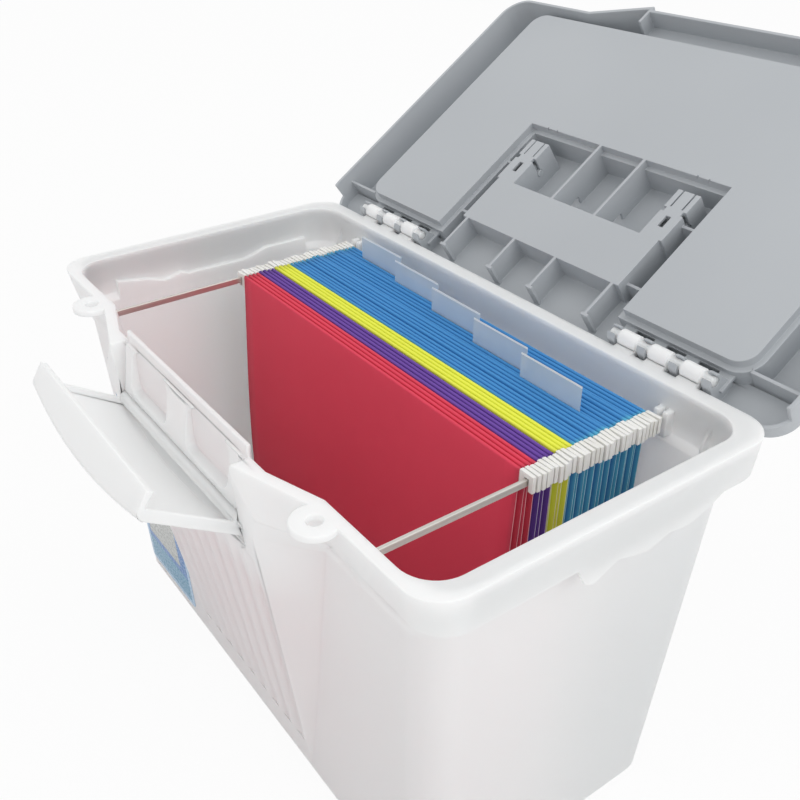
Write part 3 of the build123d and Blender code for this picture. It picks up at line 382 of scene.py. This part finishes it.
def sheet_line(front, bow, top):
    """Middle line of the card across the folder, from the end of one sleeve to the other.

    At the share s of its drop each panel has leant forwards by s * folder_lean, bulges
    forwards by bow * sin(pi s) * s**bow_skew and has come inwards to sleeve_half times
    1 - foot_narrowing * s. The sleeves are half circles, and the foot a flattened one.
    """
    turn = np.linspace(0, math.pi, turn_points)
    drop = np.linspace(0, 1, drop_points)
    back = front + panel_pitch
    crown = top - sleeve_half - card_thickness / 2
    fall = crown - folder_foot - panel_pitch / 2
    panels = []
    for middle, outer in ((front, -1), (back, 1)):
        tongue_z = np.linspace(crown - sleeve_depth, crown, tongue_points + 1)[:-1]
        tongue_y = np.full(tongue_points, middle - outer * sleeve_half)
        round_y = middle - outer * sleeve_half * np.cos(turn)
        round_z = crown + sleeve_half * np.sin(turn)
        panel_y = middle + outer * sleeve_half * (1 - foot_narrowing * drop)
        panel_y = panel_y - folder_lean * drop
        panel_y -= bow * np.sin(math.pi * drop) * drop**bow_skew
        panel_z = crown - fall * drop
        line_y = np.concatenate([tongue_y, round_y, panel_y[1:]])
        line_z = np.concatenate([tongue_z, round_z, panel_z[1:]])
        panels.append(np.stack([line_y, line_z], 1))
    half_foot = (panels[1][-1, 0] - panels[0][-1, 0]) / 2
    foot_y = panels[0][-1, 0] + half_foot * (1 - np.cos(turn[1:-1]))
    foot_z = panels[0][-1, 1] - half_foot * np.sin(turn[1:-1]) * foot_flatness
    return np.concatenate([panels[0], np.stack([foot_y, foot_z], 1), panels[1][::-1]])


def card_mesh(name, line, low_x, high_x, wave):
    """Surface that carries the line along X.

    With t = 0 at the top of the line and 1 at its foot, and u = x / high_x, it is moved
    sideways by wave * t * (1 - t) * (sin(wave_angle * u) + u**3), a slow wave with flared
    ends.
    """
    stations = np.linspace(low_x, high_x, length_points)
    heights = line[:, 1]
    share = (heights.max() - heights) / (heights.max() - heights.min())
    reach = stations / high_x
    swing = np.sin(wave_angle * reach) + reach**3
    sway = wave * (share * (1 - share))[:, None] * swing[None, :]
    grid = np.empty((len(line), len(stations), 3))
    grid[:, :, 0] = stations[None, :]
    grid[:, :, 1] = line[:, 0, None] + sway
    grid[:, :, 2] = line[:, 1, None]
    rows, columns = grid.shape[:2]
    first = (np.arange(rows - 1)[:, None] * columns + np.arange(columns - 1)).ravel()
    faces = np.stack([first, first + columns, first + columns + 1, first + 1], 1)
    mesh = bpy.data.meshes.new(name)
    mesh.from_pydata(grid.reshape(-1, 3).tolist(), [], faces.tolist())
    mesh.polygons.foreach_set("use_smooth", [True] * len(mesh.polygons))
    return mesh


def card_finish(name, shade, painted_end_shade):
    """Uncoated card: colour drift, a soft tooth, and ends with painted light and shade."""
    card, shader, place = finish_of(name, shade, 0.62, Specular_IOR_Level=0.3)
    darker = tuple(card_dark * c for c in shade)
    lighter = tuple(min(1.0, card_light * c + card_lift) for c in shade)
    cloud = place.add("ShaderNodeTexNoise", Vector=place, Scale=9.0, Detail=2.0)
    across = place.add("ShaderNodeSeparateXYZ", Vector=place)
    reach = across.maths("ABSOLUTE", across)
    # each end of the card blends to its painted shade: lighter on blue (painted light),
    # darker on red and purple (painted shade)
    painted_end_mix = reach.add(
        "ShaderNodeMapRange",
        Value=reach,
        From_Min=painted_end_from,
        From_Max=painted_end_to,
        To_Max=most_painted_end,
    )
    feed(shader, "Base Color", painted_end_mix.blended(cloud.blended(darker, lighter), painted_end_shade))
    grain(place, shader, 700.0, 0.00012, 5.0)
    return card


bar_plastic, shader, place = finish_of(
    "bar_tip_plastic",
    (0.86, 0.85, 0.82),
    0.35,
    Subsurface_Weight=0.3,
    Subsurface_Radius=(0.002, 0.002, 0.0018),
)
tinted(place, shader, 60.0, (0.82, 0.81, 0.77), (0.89, 0.885, 0.86))
cards = {}
for colour, (face, core) in folder_shades.items():
    cards[colour] = (
        card_finish(f"{colour}_card", face, painted_end_shades[colour]),
        card_finish(f"{colour}_card_core", core, core),
    )


def rake_tips(piece, middle, shift):
    """Set each bar tip unevenly.

    Past the card's end it leans sideways and rises in proportion to its reach, each by an
    amount of its own. The whole pair of bars is shifted with its folder.
    """
    mesh = piece.data
    points = np.empty(len(mesh.vertices) * 3)
    mesh.vertices.foreach_get("co", points)
    points = points.reshape(-1, 3)
    past = np.clip((np.abs(points[:, 0]) - tip_root) / tip_reach, 0, 1)
    for end in (-1, 1):
        for bar in (-1, 1):
            own = (points[:, 0] * end > 0) & ((points[:, 1] - middle) * bar > 0)
            lean, rise = uneven.uniform(least_rake, most_rake)
            points[own, 1] += lean * past[own]
            points[own, 2] += rise * past[own]
    points[:, 1] += shift
    mesh.vertices.foreach_set("co", points.ravel())


uneven = np.random.default_rng(uneven_seed)
counts = {}
for index, colour in enumerate(folder_order):
    counts[colour] = counts.get(colour, 0) + 1
    node = f"folder_{colour}_{counts[colour]}"
    body = "front_file" if index == 0 else "files"
    low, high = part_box(node)
    top = high.z - uneven.uniform(0, height_spread)
    shift = uneven.uniform(-place_spread, place_spread)
    front = first_front + 2 * index * panel_pitch + shift
    bow = front_bow * math.exp(-index / bow_fade)
    wave = most_wave * math.sin(wave_step * index)
    mesh = card_mesh(f"{node}_sheet", sheet_line(front, bow, top), low.x, high.x, wave)
    for card in cards[colour]:
        mesh.materials.append(card)
    sheet = bpy.data.objects.new(f"{node}_sheet", mesh)
    scene.collection.objects.link(sheet)
    thickness = sheet.modifiers.new("card", "SOLIDIFY")
    thickness.thickness = card_thickness
    thickness.offset = 0
    thickness.material_offset_rim = 1
    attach(sheet, body)
    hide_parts(node)
    bars_node = f"bars_{colour}_{counts[colour]}"
    bars = moulding(bars_node, body, tip_edge, bar_plastic, 1)
    rake_tips(bars, first_front + (2 * index + 0.5) * panel_pitch, shift)

# ---- Index tabs
# Clear tinted plastic, folded double over a paper strip and pushed into slots of the last
# folders. The folded top edge is thicker and catches the light.
tab_count = 5
tab_edge = 0.00012
fold_height = 0.0012
clear_alpha, fold_alpha = 0.62, 0.3
tab_plastic, shader, place = finish_of(
    "tab_plastic", (0.62, 0.72, 0.80), 0.18, IOR=moulded_index, Coat_Weight=0.3
)
tab_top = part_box("index_tab_1")[1].z
height = place.add("ShaderNodeSeparateXYZ", Vector=place, output=2)
fold = height > tab_top - fold_height
cloud = place.add("ShaderNodeTexNoise", Vector=place, Scale=40.0, Detail=2.0)
tint = cloud.blended((0.62, 0.72, 0.80), (0.74, 0.81, 0.87))
feed(shader, "Base Color", fold.blended(tint, (0.92, 0.95, 0.96)))
feed(shader, "Alpha", fold * fold_alpha + clear_alpha)
for index in range(tab_count):
    moulding(f"index_tab_{index + 1}", "files", tab_edge, tab_plastic, 1)

# ---- Floor and room
# A pale seamless studio floor of painted board, bright enough to run into the room behind
# it. The camera sees the room as plain white.
floor_half = 6
floor_glow = 0.92
room_strength = 0.84
corners = [(-1, -1), (1, -1), (1, 1), (-1, 1)]
floor_points = [(floor_half * x, floor_half * y, 0) for x, y in corners]
floor_mesh = bpy.data.meshes.new("floor")
floor_mesh.from_pydata(floor_points, [], [(0, 1, 2, 3)])
floor = bpy.data.objects.new("floor", floor_mesh)
scene.collection.objects.link(floor)
floor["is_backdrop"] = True
floor_finish, shader, place = finish_of("pale_floor", (0.82, 0.82, 0.82), 0.9)
tree = floor_finish.node_tree
path = place.add("ShaderNodeLightPath")
glow = place.add("ShaderNodeEmission", Color=(1, 1, 1, 1), Strength=1.0)
matt = Wire(tree, shader.outputs[0])
mixed = place.add("ShaderNodeMixShader", n0=path * floor_glow, n1=matt, n2=glow)
tree.links.new(mixed.socket, tree.nodes["Material Output"].inputs["Surface"])
floor_mesh.materials.append(floor_finish)

world = bpy.data.worlds.new("room")
scene.world = world
world.use_nodes = True
tree = world.node_tree
room = Wire(tree, None)
path = room.add("ShaderNodeLightPath")
dim = tree.nodes["Background"]
dim.inputs["Color"].default_value = (1, 1, 1, 1)
dim.inputs["Strength"].default_value = room_strength
white = room.add("ShaderNodeBackground", Color=(1, 1, 1, 1), Strength=1.0)
pale = Wire(tree, dim.outputs[0])
mixed = room.add("ShaderNodeMixShader", n0=path, n1=pale, n2=white)
tree.links.new(mixed.socket, tree.nodes["World Output"].inputs["Surface"])

low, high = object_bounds()
